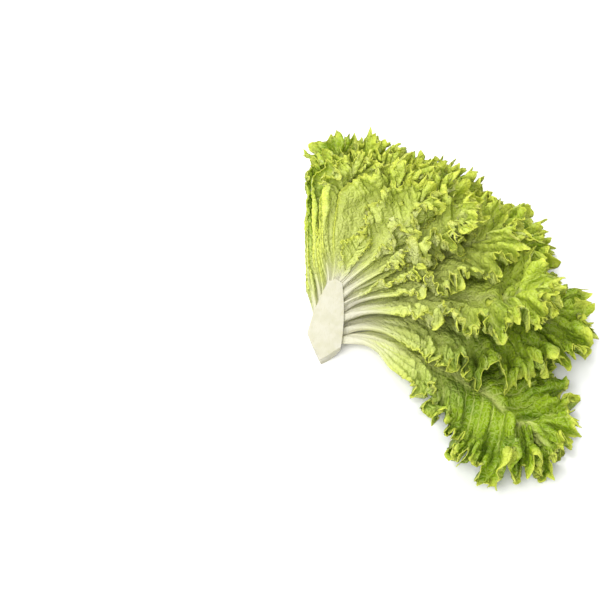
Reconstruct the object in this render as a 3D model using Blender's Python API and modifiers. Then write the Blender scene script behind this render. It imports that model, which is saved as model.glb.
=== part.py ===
"""Half a head of curly green leaf lettuce, cut lengthwise through its stem.

The half lies on its round outside with the cut face up. Its leaves grow round the stem in a
spiral, the outermost near the stem's foot and the youngest at its tip. Each leaf is one sheet
that keeps to its own layer of a bowl of nested layers, so leaves never cross. The bowl is wide
and flat on the right, where the leaves have fallen open, and steep on the left.

Metres. +X is right and +Y away from someone who looks at the cut face from the stem's foot.
"""

import math
from dataclasses import dataclass

import bmesh
import bpy
import numpy as np
from mathutils import Matrix, Vector

# Stem
STEM_LENGTH = 0.062
STEM_FOOT_RADIUS = 0.0155
STEM_TIP_RADIUS = 0.0060
STEM_HEADING = math.radians(78)
STEM_RISE = math.radians(25)
STEM_FOOT_SPOT = 0.0030
STEM_SIDES = 28
FOOT_POINT = 0.010
FOOT_TRIM_LEFT = math.radians(55)
FOOT_TRIM_RIGHT = math.radians(42)

# Leaves
HEAD_LEAVES = 33
GOLDEN_ANGLE = math.radians(137.508)
FIRST_ANGLE = math.radians(-51.5)
KEPT_SIDE = math.radians(88)
KNIFE_SIDE = math.radians(97)
KNIFE_LEAVES = 0.52
HEART_LEAF = (math.radians(-22), 1.07, 0.46)
CUT_REACH = math.radians(112)
LEAF_REACH = math.radians(65)
FIRST_ROOT = 0.16
LAST_ROOT = 0.90
OUTER_LENGTH = 0.205
HEART_LENGTH = 0.108
WIDTH_SHARE = 0.42
HEART_WIDTH_SHARE = 0.46
ROOT_WIDTH_SHARE = 0.55
WIDEST_AT = 0.62
RIB_THICKNESS = 0.0042
BLADE_THICKNESS = 0.0010
THINNEST = 0.0006
ROOT_SUNK = 0.0045
GAP = 0.0003

# Courses of the layers: degrees on the left, under the stem and on the right
START = {
    "heading_outer": (90, 52, -11),
    "heading_heart": (86, 54, 38),
    "rise_outer": (7, -2, -6),
    "rise_heart": (30, 14, 20),
}
END = {
    "heading_outer": (78, 17, -71),
    "heading_heart": (76, 34, -8),
    "rise_outer": (26, 3, -6),
    "rise_heart": (50, 42, 42),
}
STRETCH = (0.98, 1.19, 1.18)

# The heap has sunk by this angle on its far side, down to the table
SETTLED = math.radians(7)

# Leaf mesh
EDGE_COLUMNS = 44
BLADE_ROWS = 4
EDGE_WAVES = 11
WAVE_HEIGHT = 0.012
TOOTH_DEPTH = 0.0028
FREE_ROOM = 0.12
ROOM_USED = 0.85
EDGE_MARGIN = 0.08
WAVE_SEED = 11

# Where leaves lie flat on the table, how high the heart would be on those below, per layer
STACKED = 0.035

# Frame: the middle of the stem's foot, which puts the origin under the middle of the heap
FOOT_X = -0.1060
FOOT_Y = -0.0402
TABLE_Z = 0.0


def quadratic(side, low, middle, high):
    """The value at side -1, 0 and 1, and a parabola between."""
    bend = (low + high) / 2 - middle
    return middle + (high - low) / 2 * side + bend * side * side


def direction(heading, rise):
    """Unit vectors with a heading in plan, anticlockwise from +X, and a rise, then settled."""
    east = np.cos(rise) * np.cos(heading)
    north = np.cos(rise) * np.sin(heading)
    up = np.sin(rise)
    tilt = math.cos(SETTLED), math.sin(SETTLED)
    return np.stack([east, north * tilt[0] + up * tilt[1], up * tilt[0] - north * tilt[1]], axis=-1)


STEM_AXIS = direction(STEM_HEADING, STEM_RISE)
RIGHT = direction(STEM_HEADING - math.pi / 2, 0.0)
CUT_NORMAL = np.cross(RIGHT, STEM_AXIS)
FOOT_HEIGHT = STEM_FOOT_RADIUS * CUT_NORMAL[2] + FOOT_POINT * STEM_AXIS[2] - STEM_FOOT_SPOT
FOOT = np.array([FOOT_X, FOOT_Y, FOOT_HEIGHT])


def stem_radius(along):
    """Radius of the stem at a distance from its foot."""
    share = np.clip(along / STEM_LENGTH, 0, 1)
    return STEM_FOOT_RADIUS + (STEM_TIP_RADIUS - STEM_FOOT_RADIUS) * share**2


def root_point(angle, layer):
    """Where a leaf leaves the stem, for an angle round the stem from straight down."""
    along = STEM_LENGTH * (FIRST_ROOT + (LAST_ROOT - FIRST_ROOT) * layer)
    outward = (
        np.sin(angle)[..., None] * RIGHT - np.cos(angle)[..., None] * CUT_NORMAL
    )
    reach = stem_radius(along) - ROOT_SUNK
    return FOOT + along[..., None] * STEM_AXIS + reach[..., None] * outward


def bowl_direction(side, layer, course):
    """The way a layer runs out from the stem on a course, as it starts or at full length."""
    heading = quadratic(side, *course["heading_outer"])
    heading = heading + (quadratic(side, *course["heading_heart"]) - heading) * layer
    rise = quadratic(side, *course["rise_outer"])
    rise = rise + (quadratic(side, *course["rise_heart"]) - rise) * layer
    return direction(np.radians(heading), np.radians(rise))


def full_length(layer):
    """Length of a leaf of this layer, from the stem to its tip."""
    return OUTER_LENGTH + (HEART_LENGTH - OUTER_LENGTH) * np.clip(layer, 0, None) ** 1.2


def bowl_point(angle, out, layer):
    """A point of the nested layers: angle round the stem, distance out along the leaf, layer."""
    side = angle / (math.pi / 2)
    first = bowl_direction(side, layer, START)
    last = bowl_direction(side, layer, END)
    share = (out / (2 * full_length(layer)))[..., None]
    run = (out * quadratic(side, *STRETCH))[..., None]
    return root_point(angle, layer) + run * (first * (1 - share) + last * share)


def layer_gap(angle, out, layer):
    """How far apart two layers are, square to them, in metres per unit of layer."""
    step = 0.01
    slide = 0.001
    apart = bowl_point(angle, out, layer + step) - bowl_point(angle, out, layer - step)
    across = bowl_point(angle + step, out, layer) - bowl_point(angle - step, out, layer)
    along = bowl_point(angle, out + slide, layer) - bowl_point(angle, out - slide, layer)
    normal = np.cross(across, along)
    normal /= np.linalg.norm(normal, axis=-1, keepdims=True)
    return (apart * normal).sum(axis=-1) / (2 * step)


def turn_width(angle, out, layer):
    """Metres across the leaf per radian round the stem."""
    step = 0.02
    apart = bowl_point(angle + step, out, layer) - bowl_point(angle - step, out, layer)
    return np.linalg.norm(apart, axis=-1) / (2 * step)


@dataclass(frozen=True)
class Leaf:
    """One leaf: its angle round the stem, its layer and its share of that layer's full length."""

    angle: float
    layer: float
    share: float = 1.0

    @property
    def length(self):
        """Length from the stem to the tip."""
        return self.share * float(full_length(np.array(self.layer)))

    @property
    def width(self):
        """Half the leaf's greatest width."""
        share = WIDTH_SHARE + (HEART_WIDTH_SHARE - WIDTH_SHARE) * self.layer
        return share * self.length

    @property
    def root_width(self):
        """Half the leaf's width at its root."""
        along = STEM_LENGTH * (FIRST_ROOT + (LAST_ROOT - FIRST_ROOT) * self.layer)
        return ROOT_WIDTH_SHARE * float(stem_radius(along))

    def half_width(self, out):
        """Half the leaf's width at a distance out from the stem."""
        widest = WIDEST_AT * self.length
        flank = np.clip(out / widest, 0, 1)
        tip = np.clip((out - widest) / (self.length - widest), 0, 1)
        swell = flank * flank * (3 - 2 * flank)
        return (self.root_width + (self.width - self.root_width) * swell) * np.sqrt(1 - tip * tip)

    def edge(self):
        """The edge of the flat leaf, root to tip, as evenly spaced points (across, out)."""
        fine = self.length * np.sin(np.linspace(0, math.pi / 2, 400))
        line = np.stack([self.half_width(fine), fine], axis=1)
        run = np.concatenate([[0], np.cumsum(np.linalg.norm(np.diff(line, axis=0), axis=1))])
        even = np.linspace(0, run[-1], EDGE_COLUMNS // 2 + 1)
        return np.stack([np.interp(even, run, line[:, k]) for k in (0, 1)], axis=1)

    def covers(self, angle, out):
        """Whether points of the bowl lie on this leaf or close to its edge."""
        reach = self.half_width(out)
        margin = EDGE_MARGIN * self.length * np.clip(out / (0.2 * self.length), 0.1, 1)
        turn = turn_width(np.full_like(out, self.angle), out, np.full_like(out, self.layer))
        across = np.abs(angle - self.angle) * turn
        return (out < self.length + margin) & (across < reach + margin)


def rooms(leaf, leaves, angle, out):
    """Layers free below and above points of a leaf, up to the next leaf at each."""
    below = np.full_like(out, FREE_ROOM)
    above = np.full_like(out, FREE_ROOM)
    for other in leaves:
        if other is not leaf:
            room = above if other.layer > leaf.layer else below
            over = other.covers(angle, out)
            room[over] = np.minimum(room[over], abs(other.layer - leaf.layer))
    return below, above


def leaf_points(leaf, leaves, random):
    """The leaf's points and thicknesses, edge columns by rows from the rib to the edge."""
    length = leaf.length
    edge = leaf.edge()
    half = EDGE_COLUMNS // 2
    side = np.concatenate([-np.ones(half), [0], np.ones(half)])
    edge = np.concatenate([edge, edge[-2::-1]])
    rib = 0.86 * edge[:, 1] - 0.30 * np.clip(edge[:, 0] - leaf.root_width, 0, None)
    columns = np.arange(EDGE_COLUMNS + 1)
    free = np.clip(edge[:, 1] / (0.35 * length), 0, 1)
    tooth = TOOTH_DEPTH * length / OUTER_LENGTH * np.where(columns % 2 == 0, 1.0, -1.0) * free
    outward = np.stack([edge[:, 0], edge[:, 1] - 0.55 * length], axis=1)
    outward /= np.linalg.norm(outward, axis=1)[:, None]
    edge = edge + outward * tooth[:, None]

    rows = np.linspace(0, 1, BLADE_ROWS + 1)[None, :]
    across = edge[:, :1] * rows * side[:, None]
    out = rib[:, None] * (1 - rows) + edge[:, 1:] * rows

    middle = np.full_like(out, leaf.angle)
    layers = np.full_like(out, leaf.layer)
    turned = across / turn_width(middle, out, layers)
    room = np.minimum(LEAF_REACH, CUT_REACH + side * -leaf.angle)[:, None]
    widest_turn = np.abs(turned).max(axis=1, keepdims=True)
    turned *= np.minimum(1, room / np.maximum(widest_turn, 1e-9))
    angles = middle + turned

    below, above = rooms(leaf, leaves, angles, out)
    gap = np.maximum(np.abs(layer_gap(angles, out, layers)), 0.001)
    taper = np.clip(1 - out / length, 0, 1) * np.where(rows == 0, 1.0, 0.0)
    thickness = BLADE_THICKNESS + (RIB_THICKNESS - BLADE_THICKNESS) * taper
    fitting = ROOM_USED * np.minimum(below, above) * gap - GAP
    thickness = np.clip(np.minimum(thickness, fitting), THINNEST, None)

    phase = random.uniform(0, 2 * math.pi)
    turns = EDGE_WAVES * columns / EDGE_COLUMNS
    wave = np.sin(2 * math.pi * turns + phase)[:, None] * rows**2 * free[:, None]
    up = np.clip(ROOM_USED * above / 2 * gap - thickness / 2 - GAP / 2, 0, WAVE_HEIGHT)
    down = np.clip(ROOM_USED * below / 2 * gap - thickness / 2 - GAP / 2, 0, WAVE_HEIGHT)
    layers = layers + np.where(wave > 0, wave * up, wave * down) / gap
    points = bowl_point(angles, out, layers)
    floor = TABLE_Z + thickness / 2 + STACKED * leaf.layer
    points[..., 2] = np.maximum(points[..., 2], floor)
    return points, thickness


def material(name, colour, roughness):
    """A Principled material."""
    made = bpy.data.materials.new(name)
    made.use_nodes = True
    shader = made.node_tree.nodes["Principled BSDF"]
    shader.inputs["Base Color"].default_value = (*colour, 1)
    shader.inputs["Roughness"].default_value = roughness
    shader.inputs["Metallic"].default_value = 0
    made.diffuse_color = (*colour, 1)
    return made


def link(obj, collection):
    """Links an object into a collection and returns it."""
    collection.objects.link(obj)
    return obj


def as_cutter(obj):
    """Hides a cutter from renders and returns it."""
    obj.hide_render = True
    obj.display_type = "WIRE"
    return obj


def stem_frame():
    """The matrix that stands Z along the stem, with X to the right and Y down out of the cut."""
    turn = Matrix([[RIGHT[k], -CUT_NORMAL[k], STEM_AXIS[k]] for k in range(3)])
    return Matrix.Translation(Vector(FOOT)) @ turn.to_4x4()


def make_stem(name, collection, extra=0.0):
    """The stem as a turned, tapered body, grown all round by an extra for a cutter."""
    steps = 8
    mesh = bpy.data.meshes.new(name)
    shape = bmesh.new()
    profile = [(0.0, STEM_LENGTH + STEM_TIP_RADIUS / 2 + extra)]
    for k in range(steps + 1):
        along = STEM_LENGTH * (1 - k / steps)
        profile.append((float(stem_radius(np.array(along))) + extra, along))
    profile.append((STEM_FOOT_RADIUS + extra, -FOOT_POINT - extra))
    profile.append((0.0, -FOOT_POINT - extra))
    points = [shape.verts.new((radius, 0, along)) for radius, along in profile]
    for first, second in zip(points, points[1:]):
        shape.edges.new((first, second))
    shape.to_mesh(mesh)
    shape.free()
    stem = link(bpy.data.objects.new(name, mesh), collection)
    screw = stem.modifiers.new("turn", "SCREW")
    screw.steps = screw.render_steps = STEM_SIDES
    screw.use_merge_vertices = True
    screw.merge_threshold = 0.0001
    stem.matrix_world = stem_frame()
    return stem


def make_box(name, collection, size, matrix):
    """A box cutter of this size, centred on the matrix's origin."""
    mesh = bpy.data.meshes.new(name)
    shape = bmesh.new()
    bmesh.ops.create_cube(shape, size=1.0)
    bmesh.ops.scale(shape, vec=size, verts=shape.verts)
    shape.to_mesh(mesh)
    shape.free()
    box = link(bpy.data.objects.new(name, mesh), collection)
    box.matrix_world = matrix
    return as_cutter(box)


def cut(obj, cutter):
    """Cuts a cutter's shape out of an object."""
    modifier = obj.modifiers.new("cut_" + cutter.name, "BOOLEAN")
    modifier.operation = "DIFFERENCE"
    modifier.use_self = True
    modifier.object = cutter


def trim_foot(stem, cutters):
    """Trims the stem's foot to a blunt point with one slanting cut from each side."""
    for name, turn in (("trim_left", FOOT_TRIM_LEFT), ("trim_right", -FOOT_TRIM_RIGHT)):
        slant = Matrix.Translation((0, 0, -FOOT_POINT)) @ Matrix.Rotation(turn, 4, "Y")
        block = slant @ Matrix.Translation((0, 0, -0.05))
        cut(stem, make_box(name, cutters, (0.2, 0.1, 0.1), stem_frame() @ block))


def make_leaf(name, leaf, leaves, collection, finish, random):
    """One leaf as a solid: a sheet along its layer of the bowl, given its thickness by Solidify."""
    points, thickness = leaf_points(leaf, leaves, random)
    shape = bmesh.new()
    bmesh.ops.create_grid(shape, x_segments=EDGE_COLUMNS, y_segments=BLADE_ROWS, size=1)
    tag = shape.verts.layers.deform.verify()
    order = sorted(shape.verts, key=lambda v: (round(v.co.x, 5), round(v.co.y, 5)))
    for number, vert in enumerate(order):
        column, row = divmod(number, BLADE_ROWS + 1)
        vert.co = Vector(points[column, row])
        vert[tag][0] = float(thickness[column, row] / RIB_THICKNESS)
    bmesh.ops.remove_doubles(shape, verts=shape.verts, dist=0.00005)
    bmesh.ops.triangulate(shape, faces=shape.faces)
    mesh = bpy.data.meshes.new(name)
    shape.to_mesh(mesh)
    shape.free()
    mesh.shade_smooth()
    mesh.materials.append(finish)
    made = link(bpy.data.objects.new(name, mesh), collection)
    made.vertex_groups.new(name="thickness")
    shell = made.modifiers.new("thickness", "SOLIDIFY")
    shell.thickness = RIB_THICKNESS
    shell.offset = 0
    shell.vertex_group = "thickness"
    shell.thickness_vertex_group = 0
    return made


def kept_leaves():
    """The leaves on the kept side of the cut, outermost first, with those that the knife cut."""
    leaves = []
    for number in range(HEAD_LEAVES):
        angle = (FIRST_ANGLE + number * GOLDEN_ANGLE + math.pi) % (2 * math.pi) - math.pi
        layer = number / (HEAD_LEAVES - 1)
        if abs(angle) <= KEPT_SIDE:
            leaves.append(Leaf(angle, layer))
        elif abs(angle) <= KNIFE_SIDE:
            leaves.append(Leaf(math.copysign(KEPT_SIDE, angle), layer, KNIFE_LEAVES))
    return leaves + [Leaf(*HEART_LEAF)]


def main():
    """Builds the half head."""
    for obj in list(bpy.data.objects):
        bpy.data.objects.remove(obj)
    part = bpy.data.collections.new("half_lettuce_head")
    cutters = bpy.data.collections.new("cutters")
    for collection in (part, cutters):
        bpy.context.scene.collection.children.link(collection)

    stem_finish = material("stem_flesh", (0.84, 0.80, 0.62), 0.5)
    leaf_finish = material("leaf_green", (0.40, 0.50, 0.10), 0.5)

    stem = make_stem("stem", part)
    stem.data.materials.append(stem_finish)
    above = stem_frame() @ Matrix.Translation((0, -0.05, 0.03))
    cut(stem, make_box("cut_plane", cutters, (0.2, 0.1, 0.3), above))
    trim_foot(stem, cutters)
    table = Matrix.Translation((0, 0, TABLE_Z - 0.05))
    cut(stem, make_box("table", cutters, (0.3, 0.3, 0.1), table))

    room = as_cutter(make_stem("root_room", cutters, extra=GAP))

    random = np.random.default_rng(WAVE_SEED)
    leaves = kept_leaves()
    for number, leaf in enumerate(leaves, start=1):
        made = make_leaf(f"leaf_{number:02d}", leaf, leaves, part, leaf_finish, random)
        cut(made, room)


if __name__ == "__main__":
    main()
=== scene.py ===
"""Looks of half a head of curly leaf lettuce, cut lengthwise and lying with its cut face up.

Each leaf is one frilled sheet that follows its own layer of a bowl of nested layers. The layers
come from the same rule and sizes as the solids that these leaves stand for. Metres throughout.
"""

import logging
import math
from dataclasses import dataclass, field
from enum import Enum

import bmesh
import bpy
import numpy as np
from mathutils import Matrix, Vector


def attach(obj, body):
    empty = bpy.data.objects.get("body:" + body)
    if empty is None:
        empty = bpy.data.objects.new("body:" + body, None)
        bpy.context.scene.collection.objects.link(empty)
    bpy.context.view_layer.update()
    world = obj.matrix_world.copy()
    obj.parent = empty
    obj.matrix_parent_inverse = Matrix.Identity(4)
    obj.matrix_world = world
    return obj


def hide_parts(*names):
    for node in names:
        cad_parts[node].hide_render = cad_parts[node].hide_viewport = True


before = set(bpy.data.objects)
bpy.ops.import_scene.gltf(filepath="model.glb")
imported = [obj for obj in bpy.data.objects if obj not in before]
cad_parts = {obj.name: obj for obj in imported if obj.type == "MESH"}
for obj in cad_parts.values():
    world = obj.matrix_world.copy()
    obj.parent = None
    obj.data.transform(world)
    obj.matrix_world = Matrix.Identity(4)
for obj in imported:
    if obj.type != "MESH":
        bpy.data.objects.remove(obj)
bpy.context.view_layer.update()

LOG = logging.getLogger("lettuce")

MM = 0.001
Span = tuple[float, float]
Triple = tuple[float, float, float]
Colour = Triple

# Shortest and longest wave of a smooth random field, against its span
DRIFT_WAVES: Span = (1.2, 2.6)
# Each leaf's random numbers start from this number and its own
FIRST_SEED = 700


class Slot(Enum):
    """Names for the materials of the stem and of the leaves."""

    STEM = "stem_flesh"
    LEAF = "leaf_green"


class Face(Enum):
    """The two faces of a leaf, by material index."""

    INNER = 0
    OUTER = 1


def quadratic(side: np.ndarray, low: float, middle: float, high: float) -> np.ndarray:
    """The values at side -1, 0 and 1, and a parabola between."""
    bend = (low + high) / 2 - middle
    return middle + (high - low) / 2 * side + bend * side * side


def ease(value: np.ndarray, low: float, high: float) -> np.ndarray:
    """An even rise from 0 to 1 as a value goes from low to high."""
    share = np.clip((value - low) / (high - low), 0, 1)
    return share * share * (3 - 2 * share)


def above_zero(value: np.ndarray, softness: float) -> np.ndarray:
    """A value that bends away smoothly before it falls to 0."""
    return (value + np.sqrt(value**2 + softness**2)) / 2


def unit(vectors: np.ndarray) -> np.ndarray:
    """Vectors scaled to unit length."""
    return vectors / np.maximum(np.linalg.norm(vectors, axis=-1, keepdims=True), 1e-12)


def drift(random: np.random.Generator, places: list[np.ndarray], span: float) -> np.ndarray:
    """A smooth random field.

    Args:
        random: The source of its random waves.
        places: The coordinates it runs over, in metres, of shapes that broadcast.
        span: About how far it runs before it changes, in metres.

    Returns:
        Values that seldom leave the range -1 to 1.
    """
    total = np.zeros(np.broadcast_shapes(*(place.shape for place in places)))
    terms = 3 + 3 * len(places)
    for _ in range(terms):
        heading = random.normal(size=len(places))
        heading /= np.linalg.norm(heading)
        wave = 2 * math.pi / (span * random.uniform(*DRIFT_WAVES))
        along = sum(place * part for place, part in zip(places, heading))
        total = total + np.sin(wave * along + random.uniform(0, 2 * math.pi))
    return total / math.sqrt(terms)


def show(mesh: bpy.types.Mesh) -> bpy.types.Object:
    """Puts a mesh into the scene.

    Args:
        mesh: The mesh.

    Returns:
        An object of the same name that shows it.
    """
    made = bpy.data.objects.new(mesh.name, mesh)
    bpy.context.scene.collection.objects.link(made)
    return made


@dataclass(frozen=True)
class Rays:
    """Where the layers run: degrees on the left, under the stem and on the right."""

    heading_outer: Triple
    heading_heart: Triple
    rise_outer: Triple
    rise_heart: Triple


@dataclass(frozen=True)
class Bowl:
    """The nested layers round the stem, the same as those of the solids."""

    foot_x: float = -0.1060
    foot_y: float = -0.0402
    stem_length: float = 0.062
    foot_radius: float = 0.0155
    tip_radius: float = 0.0060
    stem_heading: float = math.radians(78)
    stem_rise: float = math.radians(25)
    foot_spot: float = 0.0030
    foot_point: float = 0.010
    settled: float = math.radians(7)
    first_root: float = 0.16
    last_root: float = 0.90
    root_sunk: float = 0.0045
    outer_length: float = 0.205
    heart_length: float = 0.108
    shortening: float = 1.2
    stretch: Triple = (0.98, 1.19, 1.18)
    start: Rays = Rays((90, 52, -11), (86, 54, 38), (7, -2, -6), (30, 14, 20))
    end: Rays = Rays((78, 17, -71), (76, 34, -8), (26, 3, -6), (50, 42, 42))

    def direction(self, heading: np.ndarray, rise: np.ndarray) -> np.ndarray:
        """Unit vectors, tipped over as the whole half has settled.

        Args:
            heading: Heading in plan, in radians from +X.
            rise: Rise over the plan, in radians.

        Returns:
            The vectors, in a last axis of three.
        """
        east = np.cos(rise) * np.cos(heading)
        north = np.cos(rise) * np.sin(heading)
        up = np.sin(rise)
        tilt = math.cos(self.settled), math.sin(self.settled)
        lifted = up * tilt[0] - north * tilt[1]
        return np.stack([east, north * tilt[0] + up * tilt[1], lifted], axis=-1)

    @property
    def axis(self) -> np.ndarray:
        """The way the stem runs from its foot."""
        return self.direction(self.stem_heading, self.stem_rise)

    @property
    def right(self) -> np.ndarray:
        """The way across the cut face, to the right."""
        return self.direction(self.stem_heading - math.pi / 2, 0.0)

    @property
    def cut_normal(self) -> np.ndarray:
        """The way square out of the cut face."""
        return np.cross(self.right, self.axis)

    @property
    def foot(self) -> np.ndarray:
        """The middle of the stem's foot on the cut face."""
        height = (
            self.foot_radius * self.cut_normal[2] + self.foot_point * self.axis[2] - self.foot_spot
        )
        return np.array([self.foot_x, self.foot_y, height])

    def stem_radius(self, along: np.ndarray) -> np.ndarray:
        """Radius of the stem at a distance from its foot."""
        share = np.clip(along / self.stem_length, 0, 1)
        return self.foot_radius + (self.tip_radius - self.foot_radius) * share**2

    def root_height(self, layer: np.ndarray) -> np.ndarray:
        """How far up the stem a layer starts."""
        return self.stem_length * (self.first_root + (self.last_root - self.first_root) * layer)

    def root_point(self, angle: np.ndarray, layer: np.ndarray) -> np.ndarray:
        """Where a leaf leaves the stem.

        Args:
            angle: Angle round the stem from straight down, positive to the right.
            layer: From 0, the outermost leaf, to 1 at the heart.

        Returns:
            Points, in a last axis of three.
        """
        along = self.root_height(layer)
        outward = np.sin(angle)[..., None] * self.right - np.cos(angle)[..., None] * self.cut_normal
        reach = self.stem_radius(along) - self.root_sunk
        return self.foot + along[..., None] * self.axis + reach[..., None] * outward

    def ray(self, side: np.ndarray, layer: np.ndarray, rays: Rays) -> np.ndarray:
        """The way a layer runs out from the stem.

        Args:
            side: From -1 on the left to 1 on the right.
            layer: From 0, the outermost leaf, to 1 at the heart.
            rays: Where the layers run, as they start or at their full length.

        Returns:
            Unit vectors, in a last axis of three.
        """
        heading = quadratic(side, *rays.heading_outer)
        heading = heading + (quadratic(side, *rays.heading_heart) - heading) * layer
        rise = quadratic(side, *rays.rise_outer)
        rise = rise + (quadratic(side, *rays.rise_heart) - rise) * layer
        return self.direction(np.radians(heading), np.radians(rise))

    def full_length(self, layer: np.ndarray) -> np.ndarray:
        """Length of a leaf of this layer, from the stem to its tip."""
        shorter = self.heart_length - self.outer_length
        return self.outer_length + shorter * np.clip(layer, 0, None) ** self.shortening

    def point(self, angle: np.ndarray, out: np.ndarray, layer: np.ndarray) -> np.ndarray:
        """A place in the bowl.

        Args:
            angle: Angle round the stem from straight down, positive to the right.
            out: Distance out along the leaf.
            layer: From 0, the outermost leaf, to 1 at the heart.

        Returns:
            Points, in a last axis of three.
        """
        side = angle / (math.pi / 2)
        first = self.ray(side, layer, self.start)
        last = self.ray(side, layer, self.end)
        share = (out / (2 * self.full_length(layer)))[..., None]
        run = (out * quadratic(side, *self.stretch))[..., None]
        return self.root_point(angle, layer) + run * (first * (1 - share) + last * share)

    def gap(self, angle: np.ndarray, out: np.ndarray, layer: np.ndarray) -> np.ndarray:
        """How far apart the layers are, square to them.

        Args:
            angle: Angle round the stem from straight down, positive to the right.
            out: Distance out along the leaf.
            layer: From 0, the outermost leaf, to 1 at the heart.

        Returns:
            Metres per unit of layer.
        """
        step, slide = 0.01, 0.001
        apart = self.point(angle, out, layer + step) - self.point(angle, out, layer - step)
        across = self.point(angle + step, out, layer) - self.point(angle - step, out, layer)
        along = self.point(angle, out + slide, layer) - self.point(angle, out - slide, layer)
        normal = np.cross(across, along)
        normal /= np.linalg.norm(normal, axis=-1, keepdims=True)
        return np.abs((apart * normal).sum(axis=-1)) / (2 * step)

    def turn_width(self, angle: np.ndarray, out: np.ndarray, layer: np.ndarray) -> np.ndarray:
        """How far it is across the leaf for a turn round the stem.

        Args:
            angle: Angle round the stem from straight down, positive to the right.
            out: Distance out along the leaf.
            layer: From 0, the outermost leaf, to 1 at the heart.

        Returns:
            Metres per radian.
        """
        step = 0.02
        apart = self.point(angle + step, out, layer) - self.point(angle - step, out, layer)
        return np.linalg.norm(apart, axis=-1) / (2 * step)


@dataclass(frozen=True)
class LeafPlan:
    """One leaf's place and outline: its number, angle, layer and share of the full length."""

    bowl: Bowl
    number: int
    angle: float
    layer: float
    share: float = 1.0
    width_share: float = 0.42
    heart_wider: float = 0.04
    root_share: float = 0.55
    widest_at: float = 0.62
    heart_from: float = 0.8
    heart_fuller: float = 0.4

    @property
    def name(self) -> str:
        """Name of the solid that this leaf stands for."""
        return f"leaf_{self.number:02d}"

    @property
    def length(self) -> float:
        """Length from the stem to the tip."""
        return self.share * float(self.bowl.full_length(np.array(self.layer)))

    @property
    def width(self) -> float:
        """Half the leaf's greatest width."""
        return (self.width_share + self.heart_wider * self.layer) * self.length

    @property
    def root_width(self) -> float:
        """Half the leaf's width at its root."""
        along = self.bowl.root_height(np.array(self.layer))
        return self.root_share * float(self.bowl.stem_radius(along))

    def half_width(self, out: np.ndarray) -> np.ndarray:
        """Half the leaf's width.

        Args:
            out: Distance out along the leaf.

        Returns:
            Distances from the middle of the rib to the edge.
        """
        widest = self.widest_at * self.length
        tip = np.clip((out - widest) / (self.length - widest), 0, 1)
        heart = max(0.0, self.layer - self.heart_from) / (1 - self.heart_from)
        swell = ease(out, 0, widest) ** (1 - self.heart_fuller * heart)
        return (self.root_width + (self.width - self.root_width) * swell) * np.sqrt(1 - tip * tip)

    def edge(self, half: int) -> tuple[np.ndarray, np.ndarray]:
        """The smooth edge, root to tip.

        Args:
            half: Number of steps along it, closer together towards the tip.

        Returns:
            Points (across, out) with their places along the edge.
        """
        samples, crowding = 800, 0.75
        fine = self.length * np.sin(np.linspace(0, math.pi / 2, samples))
        line = np.stack([self.half_width(fine), fine], axis=1)
        run = np.concatenate([[0], np.cumsum(np.linalg.norm(np.diff(line, axis=0), axis=1))])
        even = run[-1] * np.linspace(0, 1, half + 1) ** crowding
        return np.stack([np.interp(even, run, line[:, k]) for k in (0, 1)], axis=1), even

    def outside(self, angle: np.ndarray, out: np.ndarray) -> np.ndarray:
        """How far points of the bowl are outside this leaf's edge.

        Args:
            angle: Each point's angle round the stem.
            out: Its distance out from the stem.

        Returns:
            Distances, less than 0 on the leaf.
        """
        middle = np.full_like(out, self.angle)
        turn = self.bowl.turn_width(middle, out, np.full_like(out, self.layer))
        across = np.abs(angle - self.angle) * turn
        return np.maximum(out - self.length, across - self.half_width(out))


@dataclass(frozen=True)
class Spiral:
    """The rule that places the leaves round the stem, and what the cut keeps of them."""

    bowl: Bowl
    head_leaves: int = 33
    golden_angle: float = math.radians(137.508)
    first_angle: float = math.radians(-51.5)
    kept_side: float = math.radians(88)
    knife_side: float = math.radians(97)
    knife_share: float = 0.52
    heart_leaf: Triple = (math.radians(-22), 1.07, 0.46)

    def leaves(self) -> list[LeafPlan]:
        """Places the leaves of the whole head and keeps those on this side of the cut.

        Returns:
            The kept leaves, outermost first, with those that the knife shortened.
        """
        kept: list[Triple] = []
        for number in range(self.head_leaves):
            turned = self.first_angle + number * self.golden_angle
            angle = (turned + math.pi) % (2 * math.pi) - math.pi
            layer = number / (self.head_leaves - 1)
            if abs(angle) <= self.kept_side:
                kept.append((angle, layer, 1.0))
            elif abs(angle) <= self.knife_side:
                kept.append((math.copysign(self.kept_side, angle), layer, self.knife_share))
        kept.append(self.heart_leaf)
        return [LeafPlan(self.bowl, number, *place) for number, place in enumerate(kept, start=1)]


@dataclass(frozen=True)
class Ruffle:
    """One size of ruffle along a leaf's edge, in metres on an outermost leaf.

    Height fades over reach from the edge, and takes at most room_share of the room. Sway moves
    the ruffle out and in, meander bends its sides under its crests, and turned is how far it
    stands square to the larger ruffles and not to the smooth leaf.
    """

    length: float
    height: float
    reach: float
    room_share: float
    sway: float
    meander: float
    turned: float


RUFFLES = (
    Ruffle(length=0.032, height=0.0088, reach=0.100, room_share=0.95, sway=0.20, meander=0.03,
           turned=0.0),
    Ruffle(length=0.0120, height=0.0066, reach=0.074, room_share=1.00, sway=0.45, meander=0.14,
           turned=0.3),
    Ruffle(length=0.0058, height=0.0046, reach=0.050, room_share=0.95, sway=0.65, meander=0.12,
           turned=0.6),
    Ruffle(length=0.0029, height=0.0021, reach=0.024, room_share=0.70, sway=0.90, meander=0.08,
           turned=0.8),
)


@dataclass(frozen=True)
class Notch:
    """One size of lobe or tooth in a leaf's outline, in metres on an outermost leaf.

    Fade is how soon it ends inward, span is how many notches it takes for them to vary, and the
    rest are shares of a notch.
    """

    length: float
    depth: float
    pointed: bool
    fade: float
    span: float = 3
    length_spread: float = 0.45
    depth_middle: float = 0.80
    depth_spread: float = 0.45
    roundness: float = 0.9
    sunk: float = 0.4


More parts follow.
